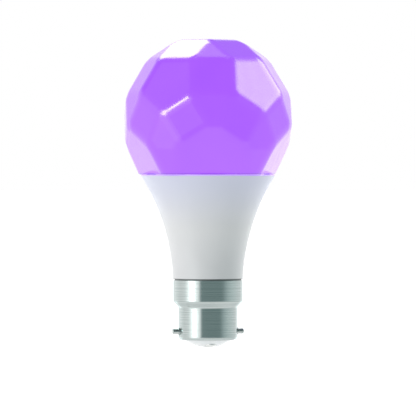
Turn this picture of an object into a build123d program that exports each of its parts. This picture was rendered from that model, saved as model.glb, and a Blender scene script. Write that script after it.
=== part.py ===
from build123d import *
import os
from math import cos, radians, sin, sqrt

# Smart light bulb with a faceted diffuser and a B22d bayonet cap. Millimetres, +Z up along the bulb's
# axis, origin at the centre of the cap's end, level with the two contact faces. The bayonet pins lie
# along X and the contacts along Y.

# Bayonet cap
SHELL_RADIUS = 11.0
SKIRT_RADIUS = 13.0
CAP_WALL = 0.45
CAP_TOP_Z = 25.2
STEP_TOP_Z = 17.25
STEP_BOTTOM_Z = 15.15
SHELL_BOTTOM_Z = 2.85
SHELL_MOUTH_RADIUS = 8.7
STEP_OUTER_ROUNDING = 0.8
STEP_INNER_ROUNDING = 0.9
SHELL_END_ROUNDING = 1.3
BAYONET_PIN_RADIUS = 1.0
BAYONET_PIN_REACH = 13.6
BAYONET_PIN_Z = 6.1
PIN_TIP_CHAMFER = 0.2
PIN_COLLAR_RADIUS = 1.45
PIN_COLLAR_HEIGHT = 0.3
PIN_HEAD_RADIUS = 1.5
PIN_HEAD_INNER = 9.9
PIN_HEAD_OUTER = 10.4
PIN_RIVET_RADIUS = 1.2
CONTACT_OFFSET = 4.6
CONTACT_RADIUS = 2.0
CONTACT_ROUNDING = 1.0
CONTACT_FACE_Z = 0.4
CONTACT_TOP_Z = 3.2
INSULATOR_BOTTOM_Z = 0.0
INSULATOR_CROWN_RADIUS = 14.5
INSULATOR_CROWN_EDGE = 7.4
INSULATOR_NECK_RADIUS = 8.6
INSULATOR_DISC_RADIUS = 10.45
INSULATOR_DISC_BEVEL = 0.7
INSULATOR_BOSS_RADIUS = 7.8
INSULATOR_TOP_Z = 7.0
INSULATOR_DISC_TOP_Z = 4.5

# Housing: its outline is one large arc that flares from the cap to the dome.
FLARE_RADIUS = 80.0
FLARE_CENTRE_RADIUS = 92.95
FLARE_CENTRE_Z = 22.0
HOUSING_WALL = 1.6
HOUSING_BOTTOM_Z = 25.7
JOINT_Z = 64.7
RIM_ROUNDING = 0.35
NECK_RADIUS = 12.5
NECK_BORE_RADIUS = 11.0
NECK_BOTTOM_Z = 17.9
NECK_BORE_TOP_Z = 26.5
RAIL_BOTTOM_Z = 22.5
RAIL_TOP_Z = 27.0
RAIL_INNER_X = 8.0
RAIL_OUTER_X = 11.3
RAIL_WIDTH = 2.8
RAIL_SLOT_WIDTH = 1.1

# Faceted dome: five-fold about the bulb's axis. Each ring of facets is given as the count, the tilt of
# the facets' normals from +Z, the turn of its first facet, and the facets' distance from the centre.
DOME_CENTRE_Z = 84.8
DOME_TURN = -8.3
DOME_EDGE_ROUNDING = 9.0
DOME_WALL = 1.6
DOME_SPAN = 70.0
DOME_RUN_ON = 8.0
FACET_RINGS = {
    "top pentagon": (1, 0.0, 0.0, 30.4),
    "upper squares": (5, 31.7, 36.0, 31.0),
    "upper triangles": (5, 37.4, 0.0, 31.7),
    "upper pentagons": (5, 63.4, 36.0, 30.1),
    "shoulder squares": (5, 58.3, 0.0, 30.85),
    "shoulder triangles": (5, 79.2, 0.0, 31.2),
    "waist squares": (10, 90.0, 18.0, 31.0),
    "lower triangles": (5, 100.8, 36.0, 31.4),
    "lower pentagons": (5, 117.0, 0.0, 29.7),
    "base squares": (5, 109.9, 36.0, 31.8),
}
DOME_FLOOR_THICKNESS = 1.6
DOME_BASE_CHAMFER = 0.35
SPIGOT_RADIUS = 21.9
SPIGOT_BORE_RADIUS = 20.6
SPIGOT_BOTTOM_Z = 62.7
BEAD_BOTTOM_Z = 63.0
BEAD_TOP_Z = 64.3
BEAD_BOTTOM_RADIUS = 22.3
BEAD_TOP_RADIUS = 22.9

# Heat sink cup and the insulating sleeve inside it
FIT_GAP = 0.1
CUP_WALL = 1.2
CUP_BOTTOM_Z = 38.0
CUP_TOP_Z = 61.2
CUP_PLATE_THICKNESS = 1.5
SLEEVE_WALL = 0.5
SLEEVE_BOTTOM_Z = 37.5
SLEEVE_TOP_Z = 59.5

# Light source board
PAD_THICKNESS = 0.15
PAD_RADIUS = 19.5
LED_BOARD_RADIUS = 20.9
LED_BOARD_THICKNESS = 1.2
LED_BOARD_Z = CUP_TOP_Z + PAD_THICKNESS
LED_FACE_Z = LED_BOARD_Z + LED_BOARD_THICKNESS
WHITE_LED_COUNT = 12
WHITE_LED_RING_RADIUS = 17.3
WHITE_LED_LENGTH = 3.5
WHITE_LED_WIDTH = 2.8
WHITE_LED_HEIGHT = 0.75
COLOUR_LED_COUNT = 6
COLOUR_LED_RING_RADIUS = 11.5
COLOUR_LED_SIZE = 5.0
COLOUR_LED_HEIGHT = 1.5
LED_LENS_DEPTH = 0.2
SCREW_RING_RADIUS = 14.5
SCREW_ANGLES = (30.0, 150.0, 270.0)
SCREW_RADIUS = 1.15
SCREW_HEAD_RADIUS = 1.9
SCREW_HEAD_HEIGHT = 1.3
SCREW_BOTTOM_Z = 58.6
SCREW_SLOT_LENGTH = 2.4
SCREW_SLOT_WIDTH = 0.5
SCREW_SLOT_DEPTH = 0.6
SCREW_CLEARANCE_RADIUS = 1.3

# Pins and socket that join the driver board to the light source board
LINK_PIN_COUNT = 4
LINK_PIN_PITCH = 2.54
LINK_PIN_SIZE = 0.6
LINK_PIN_BOTTOM_Z = 56.6
LINK_PIN_TOP_Z = 64.4
LINK_SLOT_LENGTH = 9.2
LINK_SLOT_WIDTH = 2.2
SOCKET_LENGTH = 10.4
SOCKET_WIDTH = 3.5
SOCKET_HEIGHT = 2.45

# Driver board, upright in the XZ plane
DRIVER_THICKNESS = 1.0
DRIVER_BOTTOM_Z = 11.0
DRIVER_FLARE_Z = 36.0
DRIVER_SHOULDER_Z = 54.0
DRIVER_TOP_Z = 58.9
DRIVER_LOWER_HALF_WIDTH = 8.5
DRIVER_UPPER_HALF_WIDTH = 13.5
DRIVER_FRONT_Y = -DRIVER_THICKNESS / 2
DRIVER_BACK_Y = DRIVER_THICKNESS / 2

# Transformer: an E-core pair around a wound bobbin
CORE_WIDTH = 12.0
CORE_DEPTH = 5.0
CORE_HEIGHT = 11.0
CORE_LEG = 1.5
CORE_POST = 3.0
CORE_YOKE = 2.0
CORE_CENTRE_Z = 45.5
BOBBIN_WALL = 0.28
BOBBIN_FLANGE_WIDTH = 8.8
BOBBIN_FLANGE_DEPTH = 9.2
BOBBIN_FLANGE_THICKNESS = 0.3
BOBBIN_GAP = 0.02
WINDING_WIDTH = 8.4
WINDING_DEPTH = 8.4
TRANSFORMER_PLACE = Pos(0, DRIVER_FRONT_Y - BOBBIN_FLANGE_DEPTH / 2, CORE_CENTRE_Z)
WINDOW_HEIGHT = CORE_HEIGHT - 2 * CORE_YOKE
BOBBIN_HEIGHT = WINDOW_HEIGHT - 2 * BOBBIN_GAP
BOBBIN_BORE_WIDTH = CORE_POST + 2 * BOBBIN_GAP
BOBBIN_BORE_DEPTH = CORE_DEPTH + 2 * BOBBIN_GAP
BOBBIN_TUBE_WIDTH = BOBBIN_BORE_WIDTH + 2 * BOBBIN_WALL
BOBBIN_TUBE_DEPTH = BOBBIN_BORE_DEPTH + 2 * BOBBIN_WALL

# Leads from the contacts to the driver board
LEAD_RADIUS = 0.65
LEAD_BORE_RADIUS = 0.7
LEAD_BEND_RADIUS = 3.9
LEAD_JOINT_Z = 13.5

# Radio board, upright behind the driver board and through the light source board
RADIO_WIDTH = 8.0
RADIO_THICKNESS = 0.8
RADIO_Y = 4.6
RADIO_BOTTOM_Z = 44.0
RADIO_TOP_Z = 66.0
RADIO_SLOT_LENGTH = 8.6
RADIO_SLOT_WIDTH = 1.7
CAN_WIDTH = 7.0
CAN_BOTTOM_Z = 48.5
CAN_HEIGHT = 9.5
CAN_DEPTH = 2.0
CAN_WALL = 0.2
RADIO_PIN_COUNT = 3
RADIO_PIN_Z = 46.0
ANTENNA_BARS = 5
ANTENNA_BOTTOM_Z = 63.2
ANTENNA_PITCH = 0.55
ANTENNA_WIDTH = 6.6
ANTENNA_TRACK = 0.3
ANTENNA_THICKNESS = 0.1


def revolved(outline):
    """A full turn about the bulb's axis of a closed outline drawn in the XZ plane."""
    return revolve(make_face(outline), axis=Axis.Z)


def in_section(points):
    """Points given as radius and height, placed in the XZ plane."""
    return [(radius, 0, height) for radius, height in points]


def flare_radius(height, inset):
    """Radius at a height of the flared surface that lies a given inset inside the housing's outside."""
    return FLARE_CENTRE_RADIUS - sqrt((FLARE_RADIUS + inset) ** 2 - (height - FLARE_CENTRE_Z) ** 2)


def flare_arc(start_z, end_z, inset):
    """Arc of that flared surface between two heights."""
    heights = (start_z, (start_z + end_z) / 2, end_z)
    return ThreePointArc(*in_section([(flare_radius(height, inset), height) for height in heights]))


def ring(outer_radius, inner_radius, bottom_z, top_z):
    """Plain ring about the bulb's axis."""
    height = top_z - bottom_z
    middle = Pos(0, 0, (bottom_z + top_z) / 2)
    return middle * (Cylinder(outer_radius, height) - Cylinder(inner_radius, height))


def block(low, high):
    """Box between two opposite corners."""
    size = [top - bottom for bottom, top in zip(low, high)]
    centre = [(top + bottom) / 2 for bottom, top in zip(low, high)]
    return Pos(*centre) * Box(*size)


def around(count, ring_radius, first_angle):
    """Locations evenly spaced on a ring about the bulb's axis, each turned to face outwards."""
    return [Rot(0, 0, first_angle + 360 * turn / count) * Pos(ring_radius, 0, 0) for turn in range(count)]


def separate(solids):
    """Identical loose pieces kept as separate solids in one node."""
    return Compound(children=[solid.solid() for solid in solids])


# ---------------------------------------------------------------- dome


def facet_planes():
    """Every facet's plane, facing outwards, with its distance from the dome's centre."""
    for count, tilt, first_turn, distance in FACET_RINGS.values():
        spread = sin(radians(tilt))
        for step in range(count):
            turn = radians(DOME_TURN + first_turn + 360 * step / count)
            yield Vector(spread * sin(turn), -spread * cos(turn), cos(radians(tilt))), distance


def faceted_core():
    """Sharp polyhedron that lies inside the dome by its edge rounding. It runs on below the base."""
    centre = Vector(0, 0, DOME_CENTRE_Z)
    roomy = 2 * DOME_SPAN
    core = block((-roomy, -roomy, JOINT_Z - DOME_RUN_ON), (roomy, roomy, JOINT_Z + roomy))
    for normal, distance in facet_planes():
        plane = Plane(origin=centre + normal * (distance - DOME_EDGE_ROUNDING), z_dir=normal)
        core = split(core, bisect_by=plane, keep=Keep.BOTTOM)
    return core


def diffuser_dome():
    """Hollow faceted diffuser, with a floor ring and a round spigot that drops into the housing."""
    core = faceted_core()
    outside = offset(core, amount=DOME_EDGE_ROUNDING, kind=Kind.ARC)
    outside = split(outside, bisect_by=Plane.XY.offset(JOINT_Z), keep=Keep.TOP)
    outside = chamfer(outside.faces().sort_by(Axis.Z)[0].edges(), DOME_BASE_CHAMFER)
    cavity = offset(core, amount=DOME_EDGE_ROUNDING - DOME_WALL, kind=Kind.ARC)
    cavity = split(cavity, bisect_by=Plane.XY.offset(JOINT_Z + DOME_FLOOR_THICKNESS), keep=Keep.TOP)
    bore_height = 2 * DOME_FLOOR_THICKNESS
    bore = Pos(0, 0, JOINT_Z + bore_height / 2) * Cylinder(SPIGOT_BORE_RADIUS, bore_height)
    spigot = ring(SPIGOT_RADIUS, SPIGOT_BORE_RADIUS, SPIGOT_BOTTOM_Z, JOINT_Z)
    return outside - cavity - bore + spigot


def dome_adhesive_bead():
    """Ring of silicone between the dome's spigot and the housing."""
    corners = [
        (SPIGOT_RADIUS, BEAD_BOTTOM_Z),
        (BEAD_BOTTOM_RADIUS, BEAD_BOTTOM_Z),
        (BEAD_TOP_RADIUS, BEAD_TOP_Z),
        (SPIGOT_RADIUS, BEAD_TOP_Z),
    ]
    return revolved(Polyline(*in_section(corners), close=True))


# ---------------------------------------------------------------- housing and heat sink


def board_rail():
    """Grooved rail inside the housing's neck that holds one edge of the driver board."""
    rail = block((RAIL_INNER_X, -RAIL_WIDTH / 2, RAIL_BOTTOM_Z), (RAIL_OUTER_X, RAIL_WIDTH / 2, RAIL_TOP_Z))
    slot_end = DRIVER_LOWER_HALF_WIDTH + FIT_GAP
    slot_half = RAIL_SLOT_WIDTH / 2
    return rail - block((RAIL_INNER_X, -slot_half, RAIL_BOTTOM_Z), (slot_end, slot_half, RAIL_TOP_Z))


def housing_shell():
    """White flared shell with a neck that the cap is pressed over."""
    outside = flare_arc(HOUSING_BOTTOM_Z, JOINT_Z - RIM_ROUNDING, 0)
    inside = flare_arc(NECK_BORE_TOP_Z + HOUSING_WALL, JOINT_Z, HOUSING_WALL)
    rim = Polyline(
        outside @ 1,
        (flare_radius(JOINT_Z, 0) - RIM_ROUNDING, 0, JOINT_Z),
        inside @ 1,
    )
    neck = Polyline(
        inside @ 0,
        *in_section(
            [
                (NECK_BORE_RADIUS, NECK_BORE_TOP_Z),
                (NECK_BORE_RADIUS, NECK_BOTTOM_Z),
                (NECK_RADIUS, NECK_BOTTOM_Z),
                (NECK_RADIUS, HOUSING_BOTTOM_Z),
            ]
        ),
        outside @ 0,
    )
    shell = revolved(outside + rim + inside + neck)
    rails = [Rot(0, 0, angle) * board_rail() for angle in (0, 180)]
    return shell + rails


def service_cuts(bottom_z, top_z, screw_hole_radius):
    """Slots for the link pins and the radio board, and the screw holes, through one layer."""
    middle_z = (bottom_z + top_z) / 2
    height = top_z - bottom_z
    link_y = DRIVER_FRONT_Y - LINK_PIN_SIZE / 2
    radio_y = RADIO_Y + RADIO_THICKNESS / 2
    cuts = [Pos(0, link_y, middle_z) * Box(LINK_SLOT_LENGTH, LINK_SLOT_WIDTH, height)]
    cuts.append(Pos(0, radio_y, middle_z) * Box(RADIO_SLOT_LENGTH, RADIO_SLOT_WIDTH, height))
    for place in screw_places():
        cuts.append(place * Pos(0, 0, middle_z) * Cylinder(screw_hole_radius, height))
    return cuts


def screw_places():
    """Where the three screws stand."""
    return [Rot(0, 0, angle) * Pos(SCREW_RING_RADIUS, 0, 0) for angle in SCREW_ANGLES]


def heat_sink_cup():
    """Flared aluminium cup, closed by the plate that the light source board is screwed to."""
    outer_inset = HOUSING_WALL + FIT_GAP
    inner_inset = outer_inset + CUP_WALL
    plate_bottom_z = CUP_TOP_Z - CUP_PLATE_THICKNESS
    outside = flare_arc(CUP_BOTTOM_Z, CUP_TOP_Z, outer_inset)
    inside = flare_arc(CUP_BOTTOM_Z, plate_bottom_z, inner_inset)
    plate = Polyline(outside @ 1, (0, 0, CUP_TOP_Z), (0, 0, plate_bottom_z), inside @ 1)
    lip = Line(inside @ 0, outside @ 0)
    return revolved(outside + plate + inside + lip) - service_cuts(plate_bottom_z, CUP_TOP_Z, SCREW_RADIUS)


def insulating_sleeve():
    """Thin plastic sleeve that keeps the driver away from the aluminium."""
    outer_inset = HOUSING_WALL + FIT_GAP + CUP_WALL + FIT_GAP
    outside = flare_arc(SLEEVE_BOTTOM_Z, SLEEVE_TOP_Z, outer_inset)
    inside = flare_arc(SLEEVE_BOTTOM_Z, SLEEVE_TOP_Z, outer_inset + SLEEVE_WALL)
    ends = Line(outside @ 1, inside @ 1) + Line(inside @ 0, outside @ 0)
    return revolved(outside + inside + ends)


# ---------------------------------------------------------------- light source


def thermal_pad():
    """Thin pad that carries the board's heat into the cup."""
    middle = Pos(0, 0, (CUP_TOP_Z + LED_BOARD_Z) / 2)
    disc = middle * Cylinder(PAD_RADIUS, PAD_THICKNESS)
    return disc - service_cuts(CUP_TOP_Z, LED_BOARD_Z, SCREW_CLEARANCE_RADIUS)


def led_board():
    """Round aluminium-cored board."""
    middle = Pos(0, 0, (LED_BOARD_Z + LED_FACE_Z) / 2)
    disc = middle * Cylinder(LED_BOARD_RADIUS, LED_BOARD_THICKNESS)
    return disc - service_cuts(LED_BOARD_Z, LED_FACE_Z, SCREW_CLEARANCE_RADIUS)


def led_package(radial_size, tangent_size, height):
    """One light-emitting diode package with a round window sunk in its face."""
    body = Box(radial_size, tangent_size, height)
    window_radius = 0.38 * min(radial_size, tangent_size)
    window = Pos(0, 0, (height - LED_LENS_DEPTH) / 2) * Cylinder(window_radius, LED_LENS_DEPTH)
    return Pos(0, 0, LED_FACE_Z + height / 2) * (body - window)


def white_leds():
    """Ring of white diodes."""
    package = led_package(WHITE_LED_WIDTH, WHITE_LED_LENGTH, WHITE_LED_HEIGHT)
    first_angle = 180 / WHITE_LED_COUNT
    places = around(WHITE_LED_COUNT, WHITE_LED_RING_RADIUS, first_angle)
    return separate([place * package for place in places])


def colour_leds():
    """Ring of square colour diodes."""
    package = led_package(COLOUR_LED_SIZE, COLOUR_LED_SIZE, COLOUR_LED_HEIGHT)
    places = around(COLOUR_LED_COUNT, COLOUR_LED_RING_RADIUS, 0)
    return separate([place * package for place in places])


def led_board_screws():
    """Three slotted screws through the board into the cup's plate."""
    shank_height = LED_FACE_Z - SCREW_BOTTOM_Z
    shank = Pos(0, 0, SCREW_BOTTOM_Z + shank_height / 2) * Cylinder(SCREW_RADIUS, shank_height)
    head = Pos(0, 0, LED_FACE_Z + SCREW_HEAD_HEIGHT / 2) * Cylinder(SCREW_HEAD_RADIUS, SCREW_HEAD_HEIGHT)
    head = fillet(head.faces().sort_by(Axis.Z)[-1].edges(), SCREW_HEAD_HEIGHT / 3)
    slot_z = LED_FACE_Z + SCREW_HEAD_HEIGHT - SCREW_SLOT_DEPTH / 2
    slot = Pos(0, 0, slot_z) * Box(SCREW_SLOT_LENGTH, SCREW_SLOT_WIDTH, SCREW_SLOT_DEPTH)
    screw = shank + head - slot
    return separate([place * screw for place in screw_places()])


def link_pin_places():
    """X positions of the link pins."""
    return [LINK_PIN_PITCH * (step - (LINK_PIN_COUNT - 1) / 2) for step in range(LINK_PIN_COUNT)]


def link_pin(bottom_z, top_z):
    """One square pin against the driver board's front face, at x 0."""
    half = LINK_PIN_SIZE / 2
    return block((-half, DRIVER_FRONT_Y - LINK_PIN_SIZE, bottom_z), (half, DRIVER_FRONT_Y, top_z))


def link_pins():
    """Square pins that carry current up to the light source board."""
    pin = link_pin(LINK_PIN_BOTTOM_Z, LINK_PIN_TOP_Z)
    return separate([Pos(x, 0, 0) * pin for x in link_pin_places()])


def link_socket():
    """Plastic socket on the light source board that the link pins plug into."""
    centre_y = DRIVER_FRONT_Y - LINK_PIN_SIZE / 2
    body = Pos(0, centre_y, LED_FACE_Z + SOCKET_HEIGHT / 2) * Box(SOCKET_LENGTH, SOCKET_WIDTH, SOCKET_HEIGHT)
    hole = link_pin(LED_FACE_Z, LINK_PIN_TOP_Z)
    return body - [Pos(x, 0, 0) * hole for x in link_pin_places()]


# ---------------------------------------------------------------- driver


def driver_board():
    """Upright board, narrow in the cap and wider where the housing flares."""
    right_side = [
        (DRIVER_LOWER_HALF_WIDTH, DRIVER_BOTTOM_Z),
        (DRIVER_LOWER_HALF_WIDTH, DRIVER_FLARE_Z),
        (DRIVER_UPPER_HALF_WIDTH, DRIVER_SHOULDER_Z),
        (DRIVER_UPPER_HALF_WIDTH, DRIVER_TOP_Z),
    ]
    left_side = [(-x, z) for x, z in reversed(right_side)]
    outline = make_face(Polyline(*in_section(right_side + left_side), close=True))
    return extrude(outline, amount=DRIVER_THICKNESS / 2, dir=(0, 1, 0), both=True)


def on_front(x, bottom_z, width, depth, height):
    """Box standing on the driver board's front face."""
    low = (x - width / 2, DRIVER_FRONT_Y - depth, bottom_z)
    return block(low, (x + width / 2, DRIVER_FRONT_Y, bottom_z + height))


def on_back(x, bottom_z, width, depth, height):
    """Box standing on the driver board's back face."""
    low = (x - width / 2, DRIVER_BACK_Y, bottom_z)
    return block(low, (x + width / 2, DRIVER_BACK_Y + depth, bottom_z + height))


def electrolytic(radius, length):
    """Electrolytic capacitor can about its own Z axis, with its crimp groove and a dished top."""
    can = Cylinder(radius, length)
    can = fillet(can.edges().filter_by(GeomType.CIRCLE), radius / 10)
    groove_z = -length / 2 + radius / 2
    groove = Pos(0, 0, groove_z) * Torus(radius + radius / 20, radius / 8)
    dish = Pos(0, 0, length / 2) * Cylinder(0.7 * radius, radius / 10)
    return can - groove - dish


def input_capacitor():
    """Mains-side electrolytic capacitor, upright against the board."""
    radius = 4.0
    length = 12.0
    x = -1.5
    bottom_z = 17.0
    return Pos(x, DRIVER_FRONT_Y - radius, bottom_z + length / 2) * electrolytic(radius, length)


def output_capacitor():
    """Output electrolytic capacitor, lying across the top of the board."""
    radius = 3.15
    length = 11.0
    axis_z = 54.6
    return Pos(0, DRIVER_FRONT_Y - radius, axis_z) * Rot(0, 90, 0) * electrolytic(radius, length)


def fusible_resistor():
    """Axial resistor with its two leads bent into the board."""
    radius = 1.3
    x = -7.2
    bottom_z = 14.5
    length = 6.5
    stand_off = 0.4
    lead_radius = 0.3
    centre_y = DRIVER_FRONT_Y - stand_off - radius
    body = Pos(x, centre_y, bottom_z + length / 2) * Cylinder(radius, length)
    body = fillet(body.edges().filter_by(GeomType.CIRCLE), radius / 4)
    lead_length = DRIVER_FRONT_Y - centre_y
    tail = 0.6
    for end_z, way in ((bottom_z, -1), (bottom_z + length, 1)):
        stub = Pos(x, centre_y, end_z + way * tail / 2) * Cylinder(lead_radius, tail)
        leg_place = Pos(x, centre_y + lead_length / 2, end_z + way * (tail - lead_radius))
        body += stub + leg_place * Rot(90, 0, 0) * Cylinder(lead_radius, lead_length)
    return body


def surge_varistor():
    """Coated disc varistor, flat against the board."""
    radius = 2.6
    thickness = 2.4
    x = 5.7
    axis_z = 19.0
    place = Pos(x, DRIVER_FRONT_Y - thickness / 2, axis_z)
    disc = Rot(90, 0, 0) * Cylinder(radius, thickness)
    return place * fillet(disc.edges().filter_by(GeomType.CIRCLE), thickness / 4)


def film_capacitor():
    """Box-shaped film capacitor."""
    box = on_front(x=-4.0, bottom_z=30.5, width=5.6, depth=4.2, height=7.0)
    return fillet(box.edges().filter_by(Axis.Y), radius=0.4)


def filter_inductor():
    """Wound drum inductor with a flange at each end."""
    radius = 3.0
    length = 7.0
    flange = 1.0
    wound_radius = 2.65
    winding_length = length - 2 * flange
    drum = Cylinder(wound_radius, length)
    for way in (-1, 1):
        drum += Pos(0, 0, way * (length - flange) / 2) * Cylinder(radius, flange)
    turns = 9
    pitch = winding_length / turns
    for turn in range(turns):
        height = -winding_length / 2 + pitch * (turn + 0.5)
        drum += Pos(0, 0, height) * Torus(wound_radius, pitch / 2.2)
    x = 3.9
    bottom_z = 30.5
    return Pos(x, DRIVER_FRONT_Y - radius, bottom_z + length / 2) * drum


def transformer_core():
    """Ferrite core with two windows beside its centre post."""
    window_width = (CORE_WIDTH - 2 * CORE_LEG - CORE_POST) / 2
    window = Box(window_width, CORE_DEPTH, WINDOW_HEIGHT)
    window_x = (CORE_POST + window_width) / 2
    core = Box(CORE_WIDTH, CORE_DEPTH, CORE_HEIGHT)
    return TRANSFORMER_PLACE * (core - [Pos(way * window_x, 0, 0) * window for way in (-1, 1)])


def transformer_bobbin():
    """Plastic bobbin that slides over the centre post."""
    tube = Box(BOBBIN_TUBE_WIDTH, BOBBIN_TUBE_DEPTH, BOBBIN_HEIGHT)
    flange = Box(BOBBIN_FLANGE_WIDTH, BOBBIN_FLANGE_DEPTH, BOBBIN_FLANGE_THICKNESS)
    for way in (-1, 1):
        tube += Pos(0, 0, way * (BOBBIN_HEIGHT - BOBBIN_FLANGE_THICKNESS) / 2) * flange
    return TRANSFORMER_PLACE * (tube - Box(BOBBIN_BORE_WIDTH, BOBBIN_BORE_DEPTH, BOBBIN_HEIGHT))


def transformer_winding():
    """Copper winding with its tape wrap, around the bobbin's tube."""
    height = BOBBIN_HEIGHT - 2 * BOBBIN_FLANGE_THICKNESS
    wrap = Box(WINDING_WIDTH, WINDING_DEPTH, height)
    wrap = fillet(wrap.edges().filter_by(Axis.Z), radius=1.6)
    return TRANSFORMER_PLACE * (wrap - Box(BOBBIN_TUBE_WIDTH, BOBBIN_TUBE_DEPTH, height))


def chip(x, bottom_z, height, legs_a_side):
    """Small-outline package on the board's back face, with legs along both sides."""
    width = 3.9
    depth = 1.5
    body = on_back(x, bottom_z, width, depth, height)
    body = chamfer(body.faces().sort_by(Axis.Y)[-1].edges(), depth / 6)
    leg_width = 0.4
    leg_reach = 0.9
    leg_thickness = 0.25
    for step in range(legs_a_side):
        leg_z = bottom_z + height * (step + 0.5) / legs_a_side - leg_width / 2
        body += on_back(x, leg_z, width + 2 * leg_reach, leg_thickness, leg_width)
    return body


def bridge_rectifier():
    """Bridge rectifier on the mains side."""
    return chip(x=0, bottom_z=20.0, height=4.7, legs_a_side=2)


def driver_chip():
    """Converter controller."""
    return chip(x=0, bottom_z=31.0, height=4.9, legs_a_side=4)


def colour_driver_chips():
    """Two current-sink chips for the diodes' colours."""
    return separate([chip(x, bottom_z=52.0, height=4.9, legs_a_side=4) for x in (-9.5, 9.5)])


def output_diode():
    """Output rectifier diode."""
    body = on_back(x=0, bottom_z=38.5, width=2.6, depth=2.2, height=4.2)
    return body + on_back(x=0, bottom_z=38.0, width=1.5, depth=0.3, height=5.2)


def lead(way):
    """Insulated wire from a contact, up through the insulator and round into the board."""
    board_y = way * DRIVER_BACK_Y
    contact_y = way * CONTACT_OFFSET
    corners = [(0, contact_y, CONTACT_TOP_Z), (0, contact_y, LEAD_JOINT_Z), (0, board_y, LEAD_JOINT_Z)]
    path = FilletPolyline(*corners, radius=LEAD_BEND_RADIUS)
    section = Plane(origin=corners[0], z_dir=(0, 0, 1)) * Circle(LEAD_RADIUS)
    wire = sweep(section, path=path)
    expected = section.area * path.length
    print("lead volume over section times length:", round(wire.volume / expected, 4))
    return wire


# ---------------------------------------------------------------- radio


def radio_board():
    """Small upright board whose antenna end stands above the light source board."""
    low = (-RADIO_WIDTH / 2, RADIO_Y, RADIO_BOTTOM_Z)
    return block(low, (RADIO_WIDTH / 2, RADIO_Y + RADIO_THICKNESS, RADIO_TOP_Z))


def radio_shield_can():
    """Pressed metal can over the radio chip, open towards its board."""
    face_y = RADIO_Y + RADIO_THICKNESS
    half = CAN_WIDTH / 2
    can = block((-half, face_y, CAN_BOTTOM_Z), (half, face_y + CAN_DEPTH, CAN_BOTTOM_Z + CAN_HEIGHT))
    can = fillet(can.edges().filter_by(Axis.Y), radius=0.5)
    hollow_low = (CAN_WALL - half, face_y, CAN_BOTTOM_Z + CAN_WALL)
    hollow_high = (half - CAN_WALL, face_y + CAN_DEPTH - CAN_WALL, CAN_BOTTOM_Z + CAN_HEIGHT - CAN_WALL)
    return can - block(hollow_low, hollow_high)


def radio_chip():
    """Radio chip under the shield can."""
    face_y = RADIO_Y + RADIO_THICKNESS
    middle_z = CAN_BOTTOM_Z + CAN_HEIGHT / 2
    side = 5.0
    depth = 0.9
    return Pos(0, face_y + depth / 2, middle_z) * Box(side, depth, side)


def radio_header_pins():
    """Pins that join the radio board to the driver board."""
    gap = RADIO_Y - DRIVER_BACK_Y
    pin = Pos(0, DRIVER_BACK_Y + gap / 2, RADIO_PIN_Z) * Box(LINK_PIN_SIZE, gap, LINK_PIN_SIZE)
    middle = (RADIO_PIN_COUNT - 1) / 2
    return separate([Pos(LINK_PIN_PITCH * (step - middle), 0, 0) * pin for step in range(RADIO_PIN_COUNT)])


def antenna_track():
    """Copper track folded to and fro at the radio board's upper end."""
    face_y = RADIO_Y + RADIO_THICKNESS
    half = ANTENNA_WIDTH / 2
    track = None
    for bar in range(ANTENNA_BARS):
        bar_z = ANTENNA_BOTTOM_Z + bar * ANTENNA_PITCH
        low = (-half, face_y, bar_z)
        piece = block(low, (half, face_y + ANTENNA_THICKNESS, bar_z + ANTENNA_TRACK))
        track = piece if track is None else track + piece
        if bar < ANTENNA_BARS - 1:
            link_x = half - ANTENNA_TRACK if bar % 2 == 0 else -half
            link_low = (link_x, face_y, bar_z)
            link_high = (link_x + ANTENNA_TRACK, face_y + ANTENNA_THICKNESS, bar_z + ANTENNA_PITCH)
            track += block(link_low, link_high)
    return track


# ---------------------------------------------------------------- cap


def shell_path(inset):
    """Section of the cap's sheet metal from its top edge to its mouth, at an inset from its outside."""
    slope_shift = inset * (sqrt(2) - 1)
    corners = [
        (SKIRT_RADIUS - inset, CAP_TOP_Z),
        (SKIRT_RADIUS - inset, STEP_TOP_Z + slope_shift),
        (SHELL_RADIUS - inset, STEP_BOTTOM_Z + slope_shift),
        (SHELL_RADIUS - inset, SHELL_BOTTOM_Z + inset),
        (SHELL_MOUTH_RADIUS, SHELL_BOTTOM_Z + inset),
    ]
    radii = [STEP_OUTER_ROUNDING - inset, STEP_INNER_ROUNDING + inset, SHELL_END_ROUNDING - inset]
    return FilletPolyline(*in_section(corners), radius=radii)


def cap_shell():
    """Pressed metal shell: a wide skirt, a rounded step and the narrower bayonet barrel."""
    outside = shell_path(0)
    inside = shell_path(CAP_WALL)
    ends = Line(outside @ 1, inside @ 1) + Line(inside @ 0, outside @ 0)
    shell = revolved(outside + inside + ends)
    pin_hole = Pos(0, 0, BAYONET_PIN_Z) * Rot(0, 90, 0) * Cylinder(PIN_RIVET_RADIUS, 2 * SKIRT_RADIUS)
    return shell - pin_hole


def crown_point(radius):
    """Point of the insulator's crowned end at a radius."""
    drop = INSULATOR_CROWN_RADIUS - sqrt(INSULATOR_CROWN_RADIUS**2 - radius**2)
    return (radius, 0, INSULATOR_BOTTOM_Z + drop)


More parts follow.
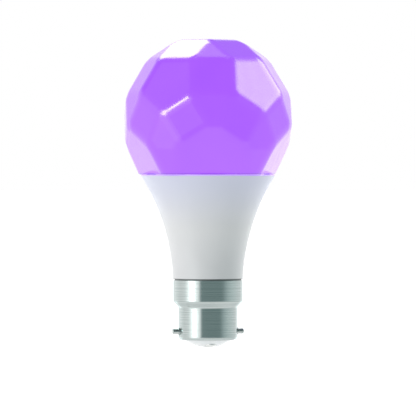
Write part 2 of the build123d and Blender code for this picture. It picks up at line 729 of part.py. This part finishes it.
def cap_insulator():
    """Moulded insulator that closes the cap, with a crowned end and a seat for each contact."""
    disc_bottom_z = SHELL_BOTTOM_Z + CAP_WALL + FIT_GAP
    crown = ThreePointArc(*[crown_point(share * INSULATOR_CROWN_EDGE) for share in (0, 0.5, 1)])
    corners = [
        (INSULATOR_NECK_RADIUS, SHELL_BOTTOM_Z),
        (INSULATOR_NECK_RADIUS, disc_bottom_z),
        (INSULATOR_DISC_RADIUS - INSULATOR_DISC_BEVEL, disc_bottom_z),
        (INSULATOR_DISC_RADIUS, disc_bottom_z + INSULATOR_DISC_BEVEL),
        (INSULATOR_DISC_RADIUS, INSULATOR_DISC_TOP_Z),
        (INSULATOR_BOSS_RADIUS, INSULATOR_DISC_TOP_Z),
        (INSULATOR_BOSS_RADIUS, INSULATOR_TOP_Z),
        (0, INSULATOR_TOP_Z),
        (0, INSULATOR_BOTTOM_Z),
    ]
    body = revolved(crown + Polyline(crown @ 1, *in_section(corners)))
    for way in (-1, 1):
        seat = Pos(0, way * CONTACT_OFFSET, CONTACT_TOP_Z / 2) * Cylinder(CONTACT_RADIUS, CONTACT_TOP_Z)
        bore_height = INSULATOR_TOP_Z - CONTACT_TOP_Z
        bore_z = (INSULATOR_TOP_Z + CONTACT_TOP_Z) / 2
        body -= seat + Pos(0, way * CONTACT_OFFSET, bore_z) * Cylinder(LEAD_BORE_RADIUS, bore_height)
    return body


def contact(way):
    """Contact button with a small flat face and a well rounded rim."""
    height = CONTACT_TOP_Z - CONTACT_FACE_Z
    middle_z = (CONTACT_TOP_Z + CONTACT_FACE_Z) / 2
    button = Pos(0, way * CONTACT_OFFSET, middle_z) * Cylinder(CONTACT_RADIUS, height)
    return fillet(button.faces().sort_by(Axis.Z)[0].edges(), CONTACT_ROUNDING)


def rod_along_x(radius, start_x, end_x):
    """Round bar on the X axis."""
    length = end_x - start_x
    return Pos(start_x + length / 2, 0, 0) * Rot(0, 90, 0) * Cylinder(radius, length)


def bayonet_pin(way):
    """Bayonet pin riveted in the shell: a collar outside, a flat head inside."""
    collar_face = SHELL_RADIUS + PIN_COLLAR_HEIGHT
    shank = rod_along_x(BAYONET_PIN_RADIUS, SHELL_RADIUS, BAYONET_PIN_REACH)
    shank = chamfer(shank.faces().sort_by(Axis.X)[-1].edges(), PIN_TIP_CHAMFER)
    rivet = rod_along_x(PIN_RIVET_RADIUS, PIN_HEAD_OUTER, collar_face)
    head = rod_along_x(PIN_HEAD_RADIUS, PIN_HEAD_INNER, PIN_HEAD_OUTER)
    collar = rod_along_x(PIN_COLLAR_RADIUS, SHELL_RADIUS - CAP_WALL, collar_face)
    collar -= Cylinder(SHELL_RADIUS, 4 * PIN_COLLAR_RADIUS)
    turn = 0 if way > 0 else 180
    return Pos(0, 0, BAYONET_PIN_Z) * Rot(0, 0, turn) * (shank + rivet + head + collar)


NODES = {
    "diffuser_dome": diffuser_dome(),
    "dome_adhesive_bead": dome_adhesive_bead(),
    "housing_shell": housing_shell(),
    "heat_sink_cup": heat_sink_cup(),
    "insulating_sleeve": insulating_sleeve(),
    "thermal_pad": thermal_pad(),
    "led_board": led_board(),
    "white_leds": white_leds(),
    "colour_leds": colour_leds(),
    "led_board_screws": led_board_screws(),
    "link_pins": link_pins(),
    "link_socket": link_socket(),
    "driver_board": driver_board(),
    "input_capacitor": input_capacitor(),
    "output_capacitor": output_capacitor(),
    "film_capacitor": film_capacitor(),
    "filter_inductor": filter_inductor(),
    "fusible_resistor": fusible_resistor(),
    "surge_varistor": surge_varistor(),
    "transformer_core": transformer_core(),
    "transformer_bobbin": transformer_bobbin(),
    "transformer_winding": transformer_winding(),
    "bridge_rectifier": bridge_rectifier(),
    "driver_chip": driver_chip(),
    "colour_driver_chips": colour_driver_chips(),
    "output_diode": output_diode(),
    "live_lead": lead(-1),
    "neutral_lead": lead(1),
    "radio_board": radio_board(),
    "radio_chip": radio_chip(),
    "radio_shield_can": radio_shield_can(),
    "radio_header_pins": radio_header_pins(),
    "antenna_track": antenna_track(),
    "cap_shell": cap_shell(),
    "cap_insulator": cap_insulator(),
    "contact_front": contact(-1),
    "contact_back": contact(1),
    "bayonet_pin_left": bayonet_pin(-1),
    "bayonet_pin_right": bayonet_pin(1),
}

os.makedirs("parts", exist_ok=True)
for name, shape in NODES.items():
    export_step(shape, f"parts/{name}.step")
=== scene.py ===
import bpy
from math import cos, pi, radians, sin
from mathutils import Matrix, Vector


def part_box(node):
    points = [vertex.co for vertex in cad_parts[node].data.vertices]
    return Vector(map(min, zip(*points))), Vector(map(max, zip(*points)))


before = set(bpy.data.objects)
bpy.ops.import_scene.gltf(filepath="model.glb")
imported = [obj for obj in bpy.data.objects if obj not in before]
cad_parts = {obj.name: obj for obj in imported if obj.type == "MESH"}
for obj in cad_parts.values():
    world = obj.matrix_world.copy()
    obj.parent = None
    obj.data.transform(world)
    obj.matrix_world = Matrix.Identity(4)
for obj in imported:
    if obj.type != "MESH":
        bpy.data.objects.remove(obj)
bpy.context.view_layer.update()

# Smart light bulb: the CAD pieces, each given its real finish, in a white studio. Metres, +Z up along
# the bulb's axis, origin at the centre of the cap's end. An azimuth of 0 points to -Y and 90 to +X.

# Places read from the frame
HOUSING_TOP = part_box("housing_shell")[1].z
CAP_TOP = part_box("cap_shell")[1].z

# Camera
CAMERA_AZIMUTH = -12.0
CAMERA_DISTANCE = 1.6
CAMERA_LENS = 370.0
CAMERA_SENSOR = 36.0
CAMERA_AIM_Z = 0.0522

# Studio: white walls with a dark opening round the camera, a dark ceiling, a bright ground and
# softboxes. Brightness is radiance, where 1 shows as white. Angles are in degrees.
# The walls go round the room in steps: azimuth from the camera's, then brightness. Their dim parts
# are a little green-blue: what is left of their red where the brightness nears nothing is SHADE_RED.
WALLS = (
    (-180.0, 1.55),
    (-142.0, 1.32),
    (-105.0, 1.0),
    (-82.0, 1.1),
    (-66.0, 1.8),
    (-48.0, 2.0),
    (-40.0, 1.5),
    (-31.0, 1.2),
    (-25.0, 0.3),
    (48.0, 0.3),
    (68.0, 0.6),
    (97.0, 0.78),
    (134.0, 1.02),
    (160.0, 1.52),
    (180.0, 1.52),
)
SHADE_RED = 0.6
CEILING_BRIGHTNESS = 0.08
CEILING_START = 20.0
CEILING_FULL = 34.0
GROUND_BRIGHTNESS = 1.05
GROUND_START = -14.0
GROUND_FULL = -30.0
FLOOR_SIZE = 30.0
FLOOR_GLOW = 1.0
FLOOR_PAPER = 0.35
WATTS_PER_RADIANCE = 4.0
SOFTBOX_DISTANCE = 1.5
REFLECTED_TINT = (0.85, 1.0, 1.0)
# A softbox and the ones behind it that make its soft edge, as shares of its size and brightness, then
# how far one stands behind the other, and how far the front lamp's surround stands behind the lamp
SOFT_EDGE = ((1.0, 1.0), (1.2, 0.5), (1.4, 0.2))
SOFT_EDGE_GAP = 0.05
LAMP_GAP = 0.03

# Glossy plastic of the dome, and the heights between which its shaded lower edge turns bright
DIFFUSER_IOR = 1.6
SHADED_EDGE_START = HOUSING_TOP + 0.0002
SHADED_EDGE_END = HOUSING_TOP + 0.0009

# Housing: the heights between which the painted shade in the groove over the cap turns white, and how far
# below its top the painted bluish light of the dome, the lit rim and the lit ledge start and are full
GROOVE_EDGE_START = CAP_TOP + 0.00062
GROOVE_EDGE_END = CAP_TOP + 0.00072
PAINTED_DOME_LIGHT_DEPTH = 0.022
RIM_DEPTH = 0.0006
RIM_FULL_DEPTH = 0.0002
LEDGE_DEPTH = 0.00006
LEDGE_FULL_DEPTH = 0.00001

# Height of the painted shade on the crowned end of the insulator
CROWN_HEIGHT = 0.0016

# Sockets that a Mix node uses for colours
MIX_FIRST = 6
MIX_SECOND = 7
MIX_RESULT = 2


def heading(azimuth, elevation=0.0):
    """Unit vector that points outward from the bulb at an azimuth and elevation in degrees."""
    turn = radians(azimuth)
    rise = radians(elevation)
    return Vector((sin(turn) * cos(rise), -cos(turn) * cos(rise), sin(rise)))


# ---------------------------------------------------------------- camera, lights and floor


def make_camera():
    camera = bpy.data.objects.new("camera", bpy.data.cameras.new("camera"))
    bpy.context.scene.collection.objects.link(camera)
    camera.data.lens = CAMERA_LENS
    camera.data.sensor_width = CAMERA_SENSOR
    aim = Vector((0.0, 0.0, CAMERA_AIM_Z))
    camera.location = heading(CAMERA_AZIMUTH) * CAMERA_DISTANCE
    camera.location.z = HOUSING_TOP
    camera.rotation_euler = (aim - camera.location).to_track_quat("-Z", "Y").to_euler()
    bpy.context.scene.camera = camera


def softbox(name, azimuth, elevation, width, height, radiance, distance=SOFTBOX_DISTANCE):
    """Oval area light, aimed at the foot of the dome. Width and height are the degrees seen from there."""
    light = bpy.data.lights.new(name, "AREA")
    light.shape = "ELLIPSE"
    light.size = distance * radians(width)
    light.size_y = distance * radians(height)
    light.energy = WATTS_PER_RADIANCE * light.size * light.size_y * radiance
    lamp = bpy.data.objects.new(name, light)
    bpy.context.scene.collection.objects.link(lamp)
    outward = heading(azimuth, elevation)
    lamp.location = Vector((0.0, 0.0, HOUSING_TOP)) + outward * distance
    lamp.rotation_euler = outward.to_track_quat("Z", "Y").to_euler()
    lamp.visible_camera = False
    return lamp


def reflected(name, azimuth, elevation, width, height, radiance, distance=SOFTBOX_DISTANCE):
    """Rectangular softbox that only shows as a reflection, in a few facets and the edges next to them."""
    lamp = softbox(name, azimuth, elevation, width, height, radiance, distance)
    lamp.data.shape = "RECTANGLE"
    lamp.data.color = REFLECTED_TINT
    lamp.visible_diffuse = False


def reflected_soft(name, azimuth, elevation, width, height, radiance):
    """Reflected softbox with a soft edge: larger and dimmer ones stand behind it."""
    for ring, (growth, share) in enumerate(SOFT_EDGE):
        distance = SOFTBOX_DISTANCE + SOFT_EDGE_GAP * ring
        size = (growth * width, growth * height)
        reflected(f"{name}_{ring}", azimuth, elevation, *size, share * radiance, distance)


def fill(name, azimuth, elevation, width, height, radiance):
    """Softbox that only lifts matt surfaces."""
    softbox(name, azimuth, elevation, width, height, radiance).visible_glossy = False


def make_softboxes():
    """Each has its azimuth, elevation, width and height in degrees, then its brightness."""
    reflected_soft("back_left_softbox", -169.0, 49.0, 22.0, 22.0, 3.8)
    reflected("back_left_low_softbox", -177.0, 35.0, 20.0, 14.0, 2.2)
    reflected_soft("right_softbox", 98.0, 35.0, 44.0, 27.0, 2.7)
    reflected("back_softbox", 146.0, 50.0, 24.0, 34.0, 0.25)
    reflected("top_softbox", 156.0, 77.0, 26.0, 22.0, 1.1)
    reflected("left_softbox", -91.0, 43.0, 24.0, 24.0, 0.3)
    reflected("low_left_softbox", -157.0, -19.0, 26.0, 16.0, 0.45)
    reflected("low_right_softbox", 145.0, -14.0, 26.0, 16.0, 0.35)
    reflected("front_lamp", -60.0, 24.7, 9.0, 9.0, 7.0)
    reflected("front_lamp_surround", -67.7, 18.2, 19.0, 19.0, 10.0, SOFTBOX_DISTANCE + LAMP_GAP)
    fill("front_left_fill", -37.0, 35.0, 40.0, 40.0, 0.8)
    fill("back_right_fill", 113.0, -10.0, 40.0, 60.0, 1.0)


def make_world():
    """Light from all round, by direction. What the camera itself sees of it is plain white."""
    world = bpy.data.worlds.new("studio")
    bpy.context.scene.world = world
    world.use_nodes = True
    tree = world.node_tree
    background = tree.nodes["Background"]

    def node(kind, **settings):
        made = tree.nodes.new(kind)
        for key, value in settings.items():
            setattr(made, key, value)
        return made

    def maths(operation, *values):
        made = node("ShaderNodeMath", operation=operation)
        for socket, value in zip(made.inputs, values):
            if isinstance(value, float):
                socket.default_value = value
            else:
                tree.links.new(value, socket)
        return made.outputs["Value"]

    def share(value, start, end, **settings):
        """How far the value has gone from start to end, 0 to 1."""
        step = node("ShaderNodeMapRange", **settings)
        tree.links.new(value, step.inputs["Value"])
        step.inputs["From Min"].default_value = start
        step.inputs["From Max"].default_value = end
        return step.outputs["Result"]

    def mixed(first, brightness, factor):
        mix = node("ShaderNodeMix", data_type="RGBA")
        tree.links.new(factor, mix.inputs["Factor"])
        tree.links.new(first, mix.inputs[MIX_FIRST])
        mix.inputs[MIX_SECOND].default_value = (brightness, brightness, brightness, 1.0)
        return mix.outputs[MIX_RESULT]

    smooth = {"interpolation_type": "SMOOTHSTEP"}
    split = node("ShaderNodeSeparateXYZ")
    tree.links.new(node("ShaderNodeTexCoord").outputs["Generated"], split.inputs["Vector"])
    right, away, up = split.outputs
    turn = maths("ARCTAN2", right, maths("MULTIPLY", away, -1.0))
    from_camera = maths("WRAP", maths("SUBTRACT", turn, radians(CAMERA_AZIMUTH)), pi, -pi)
    ramp = node("ShaderNodeValToRGB")
    tree.links.new(share(from_camera, -pi, pi), ramp.inputs["Fac"])
    stops = ramp.color_ramp.elements
    while len(stops) < len(WALLS):
        stops.new(0.5)
    for stop, (azimuth, brightness) in zip(stops, WALLS):
        stop.position = (azimuth + 180.0) / 360.0
        red = brightness * min(1.0, SHADE_RED + (1.0 - SHADE_RED) * brightness)
        stop.color = (red, brightness, brightness, 1.0)
    ceiling = share(up, sin(radians(CEILING_START)), sin(radians(CEILING_FULL)), **smooth)
    ground = share(up, sin(radians(GROUND_START)), sin(radians(GROUND_FULL)), **smooth)
    room = mixed(ramp.outputs["Color"], CEILING_BRIGHTNESS, ceiling)
    room = mixed(room, GROUND_BRIGHTNESS, ground)
    seen = node("ShaderNodeLightPath").outputs["Is Camera Ray"]
    tree.links.new(mixed(room, 1.0, seen), background.inputs["Color"])


def make_floor():
    """White floor for the camera to see. The light that it would throw up comes from the world's ground."""
    mesh = bpy.data.meshes.new("floor")
    half = FLOOR_SIZE / 2
    corners = [(-half, -half, 0), (half, -half, 0), (half, half, 0), (-half, half, 0)]
    mesh.from_pydata(corners, [], [(0, 1, 2, 3)])
    floor = bpy.data.objects.new("floor", mesh)
    bpy.context.scene.collection.objects.link(floor)
    finish = Finish("floor_paper", 0.9)
    finish.colour((FLOOR_PAPER,) * 3, (FLOOR_PAPER + 0.02,) * 3, finish.noise(0.05))
    finish.glow((1.0, 1.0, 1.0), FLOOR_GLOW)
    mesh.materials.append(finish.material)
    floor.visible_diffuse = False
    floor.visible_glossy = False
    floor.visible_shadow = False


# ---------------------------------------------------------------- finishes


class Finish:
    """One procedural material on a Principled shader. Patterns are sized in metres."""

    def __init__(self, name, roughness, metallic=0.0):
        self.material = bpy.data.materials.new(name)
        self.material.use_nodes = True
        self.tree = self.material.node_tree
        self.shader = self.tree.nodes["Principled BSDF"]
        self.set("Roughness", roughness)
        self.set("Metallic", metallic)
        self.place = self.node("ShaderNodeTexCoord").outputs["Object"]

    def set(self, socket, value):
        self.shader.inputs[socket].default_value = value

    def node(self, kind, **settings):
        made = self.tree.nodes.new(kind)
        for key, value in settings.items():
            setattr(made, key, value)
        return made

    def link(self, output, target):
        self.tree.links.new(output, target)

    def noise(self, size, detail=2.0):
        """Soft random pattern whose blotches are about this many metres across."""
        pattern = self.node("ShaderNodeTexNoise")
        self.link(self.place, pattern.inputs["Vector"])
        pattern.inputs["Scale"].default_value = 1.0 / size
        pattern.inputs["Detail"].default_value = detail
        return pattern.outputs["Fac"]

    def height(self):
        split = self.node("ShaderNodeSeparateXYZ")
        self.link(self.place, split.inputs["Vector"])
        return split.outputs["Z"]

    def rise(self, start, end):
        """How far the height has gone from start to end, 0 to 1."""
        return self.spread(self.height(), 0.0, 1.0, start, end)

    def patches(self, size):
        """Broad soft patches, 0 to 1."""
        return self.spread(self.noise(size), 0.0, 1.0)

    def rings(self, pitch, detail=4.0):
        """Level rings round the axis, as turning or brushing leaves them."""
        pattern = self.node("ShaderNodeTexNoise", noise_dimensions="1D")
        self.link(self.height(), pattern.inputs["W"])
        pattern.inputs["Scale"].default_value = 1.0 / pitch
        pattern.inputs["Detail"].default_value = detail
        return pattern.outputs["Fac"]

    def spread(self, value, low, high, start=0.3, end=0.7):
        """A pattern's middle range stretched to run from low to high."""
        step = self.node("ShaderNodeMapRange", interpolation_type="SMOOTHSTEP")
        self.link(value, step.inputs["Value"])
        for socket, number in (("From Min", start), ("From Max", end), ("To Min", low), ("To Max", high)):
            step.inputs[socket].default_value = number
        return step.outputs["Result"]

    def blend(self, first, second, factor):
        """Colour that goes from first to second with the factor. Each is a colour or an output."""
        mix = self.node("ShaderNodeMix", data_type="RGBA")
        self.link(factor, mix.inputs["Factor"])
        for socket, value in ((mix.inputs[MIX_FIRST], first), (mix.inputs[MIX_SECOND], second)):
            if isinstance(value, tuple):
                socket.default_value = (*value, 1.0)
            else:
                self.link(value, socket)
        return mix.outputs[MIX_RESULT]

    def colour(self, first, second, pattern):
        tint = self.blend(first, second, self.spread(pattern, 0.0, 1.0))
        self.link(tint, self.shader.inputs["Base Color"])
        return tint

    def uneven_gloss(self, low, high, pattern):
        self.link(self.spread(pattern, low, high), self.shader.inputs["Roughness"])

    def bump(self, pattern, depth, strength=1.0):
        """Relief of this depth in metres. A second call adds to the first."""
        relief = self.node("ShaderNodeBump")
        relief.inputs["Strength"].default_value = strength
        relief.inputs["Distance"].default_value = depth
        self.link(pattern, relief.inputs["Height"])
        normal = self.shader.inputs["Normal"]
        if normal.is_linked:
            self.link(normal.links[0].from_socket, relief.inputs["Normal"])
        self.link(relief.outputs["Normal"], normal)

    def glow(self, colour, strength):
        self.shader.inputs["Emission Color"].default_value = (*colour, 1.0)
        self.set("Emission Strength", strength)


def lit_diffuser():
    """Glossy moulded dome, lit violet from inside, with painted shade where its edge goes into the housing.
    """
    finish = Finish("diffuser", 0.08)
    finish.set("IOR", DIFFUSER_IOR)
    finish.colour((0.055, 0.018, 0.13), (0.065, 0.022, 0.15), finish.noise(0.02))
    even = finish.blend((0.36, 0.092, 0.95), (0.375, 0.1, 0.97), finish.patches(0.03))
    # Painted shade: the glow is dimmer along the lower edge, where the groove at the housing shades it
    inside = finish.blend((0.24, 0.06, 0.6), even, finish.rise(SHADED_EDGE_START, SHADED_EDGE_END))
    mirrored = finish.node("ShaderNodeFresnel")
    mirrored.inputs["IOR"].default_value = DIFFUSER_IOR
    let_out = finish.blend(inside, (0.0, 0.0, 0.0), mirrored.outputs["Fac"])
    finish.link(let_out, finish.shader.inputs["Emission Color"])
    finish.set("Emission Strength", 1.08)
    finish.uneven_gloss(0.18, 0.23, finish.noise(0.004))
    finish.bump(finish.noise(0.0015), 0.0000012)
    return finish.material


def satin_housing():
    """Satin white moulding with a fine spark-eroded texture, with the dome's bluish light painted on near
    its top.

    Painted shade darkens the groove between it and the cap. Violet light leaks onto its rim, and most onto
    the ledge that the dome stands on, painted on as a glow.
    """
    finish = Finish("housing", 0.4)
    plain = finish.blend((0.71, 0.715, 0.725), (0.735, 0.74, 0.75), finish.patches(0.012))
    # Painted light: bluer towards the top, standing in for the dome's light falling on the housing
    with_painted_dome_light = finish.blend(plain, (0.64, 0.66, 0.79), finish.rise(HOUSING_TOP - PAINTED_DOME_LIGHT_DEPTH, HOUSING_TOP))
    # Painted shade: dark in the groove over the cap, where shade falls under the housing's edge
    unshaded = finish.blend((0.2, 0.22, 0.22), with_painted_dome_light, finish.rise(GROOVE_EDGE_START, GROOVE_EDGE_END))
    # Painted light: the dome's violet light on the rim and ledge, given as a darker violet colour on the
    # rim and as the housing's own glow
    rim = finish.rise(HOUSING_TOP - RIM_DEPTH, HOUSING_TOP - RIM_FULL_DEPTH)
    shown = finish.blend(unshaded, (0.35, 0.27, 0.48), rim)
    finish.link(shown, finish.shader.inputs["Base Color"])
    finish.uneven_gloss(0.36, 0.48, finish.noise(0.003))
    finish.bump(finish.noise(0.00025, 3.0), 0.000008)
    ledge = finish.rise(HOUSING_TOP - LEDGE_DEPTH, HOUSING_TOP - LEDGE_FULL_DEPTH)
    leak = finish.blend((0.0, 0.0, 0.0), (0.36, 0.2, 0.75), rim)
    leak = finish.blend(leak, (0.95, 0.78, 1.25), ledge)
    finish.link(leak, finish.shader.inputs["Emission Color"])
    finish.set("Emission Strength", 1.0)
    return finish.material


def brushed_cap():
    """Plated cap brushed round its axis: fine level rings that stretch reflections up and down."""
    finish = Finish("cap_metal", 0.3, 1.0)
    rings = finish.rings(0.0004)
    finish.colour((0.45, 0.51, 0.5), (0.55, 0.6, 0.59), rings)
    finish.set("Specular Tint", (0.8, 0.82, 0.83, 1.0))
    finish.uneven_gloss(0.2, 0.27, finish.rings(0.0002))
    finish.set("Anisotropic", 0.7)
    finish.set("Anisotropic Rotation", 0.25)
    tangent = finish.node("ShaderNodeTangent", direction_type="RADIAL", axis="Z")
    finish.link(tangent.outputs["Tangent"], finish.shader.inputs["Tangent"])
    finish.bump(rings, 0.0000003)
    return finish.material


def insulator_with_painted_shade():
    """Glossy white moulding, with painted shade making its crowned end greyer."""
    finish = Finish("insulator", 0.22)
    unshaded = finish.blend((0.74, 0.77, 0.78), (0.78, 0.81, 0.82), finish.patches(0.005))
    # Painted shade: greyer towards the crown at the insulator's end
    shown = finish.blend((0.6, 0.62, 0.63), unshaded, finish.rise(0.0, CROWN_HEIGHT))
    finish.link(shown, finish.shader.inputs["Base Color"])
    finish.uneven_gloss(0.18, 0.26, finish.noise(0.0025))
    finish.bump(finish.noise(0.0008), 0.000008)
    finish.set("Coat Weight", 0.3)
    return finish.material


def plain_finish(name, first, second, roughness, grain, depth, metallic=0.0, coat=0.0, glow=0.0):
    """Moulded, dipped, printed or plated surface: two close colours, uneven gloss and a fine grain."""
    finish = Finish(name, roughness, metallic)
    finish.colour(first, second, finish.noise(6 * grain))
    finish.uneven_gloss(roughness * 0.8, roughness * 1.2, finish.noise(3 * grain))
    finish.bump(finish.noise(grain), depth)
    finish.set("Coat Weight", coat)
    if glow:
        finish.glow(second, glow)
    return finish.material


# Name, then two colours, roughness, grain size and depth in metres, and what differs from plain plastic
PLAIN_FINISHES = {
    "silicone": ((0.78, 0.78, 0.76), (0.84, 0.84, 0.83), 0.5, 0.0008, 0.00002, {}),
    "aluminium": ((0.74, 0.75, 0.76), (0.82, 0.83, 0.84), 0.35, 0.0004, 0.00001, {"metallic": 1.0}),
    "clear_sheet": ((0.84, 0.81, 0.68), (0.9, 0.87, 0.76), 0.2, 0.001, 0.00001, {"coat": 0.4}),
    "thermal_pad": ((0.42, 0.48, 0.53), (0.5, 0.56, 0.6), 0.7, 0.0004, 0.00002, {}),
    "white_board": ((0.84, 0.85, 0.84), (0.9, 0.91, 0.9), 0.3, 0.0003, 0.000006, {"coat": 0.3}),
    "white_led": ((0.9, 0.72, 0.2), (0.95, 0.82, 0.35), 0.35, 0.0002, 0.00001, {"glow": 0.4}),
    "colour_led": ((0.55, 0.3, 0.9), (0.65, 0.4, 1.0), 0.3, 0.0002, 0.00001, {"glow": 0.8}),
    "steel": ((0.5, 0.51, 0.52), (0.6, 0.61, 0.62), 0.3, 0.0002, 0.000008, {"metallic": 1.0}),
    "tinned_metal": ((0.68, 0.68, 0.66), (0.76, 0.76, 0.75), 0.28, 0.0002, 0.000006, {"metallic": 1.0}),
    "cream_plastic": ((0.84, 0.79, 0.67), (0.88, 0.84, 0.74), 0.45, 0.0004, 0.00001, {}),
    "green_board": ((0.02, 0.16, 0.05), (0.03, 0.22, 0.08), 0.3, 0.0004, 0.00001, {"coat": 0.4}),
    "capacitor_sleeve": ((0.02, 0.024, 0.04), (0.03, 0.034, 0.055), 0.25, 0.0006, 0.000008, {"coat": 0.3}),
    "film_capacitor": ((0.66, 0.47, 0.05), (0.74, 0.55, 0.08), 0.3, 0.0005, 0.00001, {}),
    "ferrite": ((0.045, 0.045, 0.05), (0.07, 0.07, 0.075), 0.6, 0.0002, 0.00002, {}),
    "resistor_coat": ((0.1, 0.26, 0.18), (0.14, 0.32, 0.23), 0.4, 0.0004, 0.00002, {"coat": 0.3}),
    "varistor_coat": ((0.02, 0.07, 0.38), (0.035, 0.1, 0.46), 0.3, 0.0005, 0.00002, {"coat": 0.5}),
    "black_plastic": ((0.02, 0.02, 0.022), (0.035, 0.035, 0.038), 0.5, 0.0002, 0.00001, {}),
    "winding_tape": ((0.76, 0.55, 0.05), (0.84, 0.64, 0.09), 0.25, 0.0007, 0.00001, {"coat": 0.3}),
    "live_insulation": ((0.42, 0.03, 0.02), (0.5, 0.045, 0.035), 0.4, 0.0004, 0.00001, {}),
    "neutral_insulation": ((0.03, 0.03, 0.035), (0.05, 0.05, 0.055), 0.4, 0.0004, 0.00001, {}),
    "copper_track": ((0.75, 0.38, 0.2), (0.85, 0.48, 0.28), 0.3, 0.0003, 0.000006, {"metallic": 1.0}),
    "contact_metal": ((0.72, 0.73, 0.72), (0.8, 0.81, 0.8), 0.42, 0.0003, 0.00001, {"metallic": 1.0}),
    "cap_pin": ((0.46, 0.5, 0.49), (0.54, 0.58, 0.57), 0.25, 0.0002, 0.00001, {"metallic": 1.0}),
}


def finish_nodes():
    """Every CAD piece gets the finish that its material slot names."""
    finishes = {
        "diffuser": lit_diffuser(),
        "housing": satin_housing(),
        "cap_metal": brushed_cap(),
        "insulator": insulator_with_painted_shade(),
    }
    for name, (first, second, roughness, grain, depth, extras) in PLAIN_FINISHES.items():
        finishes[name] = plain_finish(name, first, second, roughness, grain, depth, **extras)
    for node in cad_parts.values():
        for slot in node.material_slots:
            slot.material = finishes[slot.material.name.split(".")[0]]


make_camera()
make_world()
make_softboxes()
make_floor()
finish_nodes()
bpy.context.scene.view_settings.view_transform = "Standard"

bpy.context.view_layer.update()
